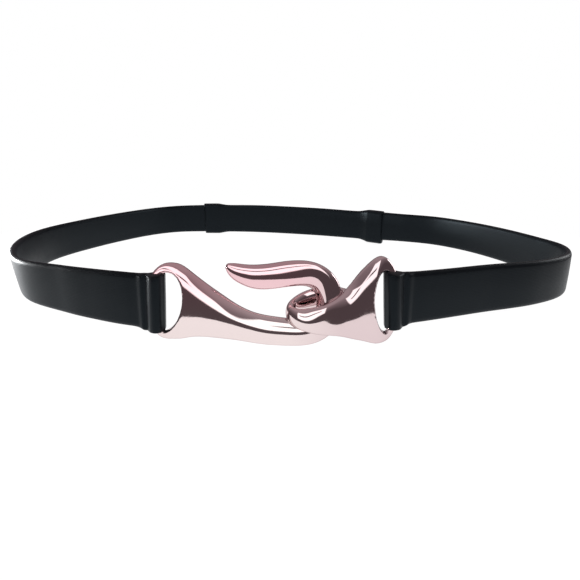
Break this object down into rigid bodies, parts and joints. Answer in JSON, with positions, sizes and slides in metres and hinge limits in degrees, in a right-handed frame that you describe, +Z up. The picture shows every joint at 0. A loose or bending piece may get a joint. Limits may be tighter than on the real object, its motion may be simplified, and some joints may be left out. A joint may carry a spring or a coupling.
{
  "type": "elastic belt",
  "caption": "Narrow elastic waist belt in a closed loop, with rolled strap ends and a polished metal hook that catches in a tilted oval ring.",
  "frame": {"origin": "centre of the bounding box's bottom face, on the surface the belt stands on", "axes": "+X along the buckle towards the ring's half, -Y out of the front where the buckle is, +Z up along the strap's height"},
  "size_m": [0.2878, 0.2214, 0.0377],
  "materials": {
    "strap": "satin",
    "metal": "polished"
  },
  "bodies": {
    "root": {"hook_half": "metal", "eye_half": "metal", "left_strap": "strap", "right_strap": "strap", "back_strap": "strap"}
  },
  "joints": []
}
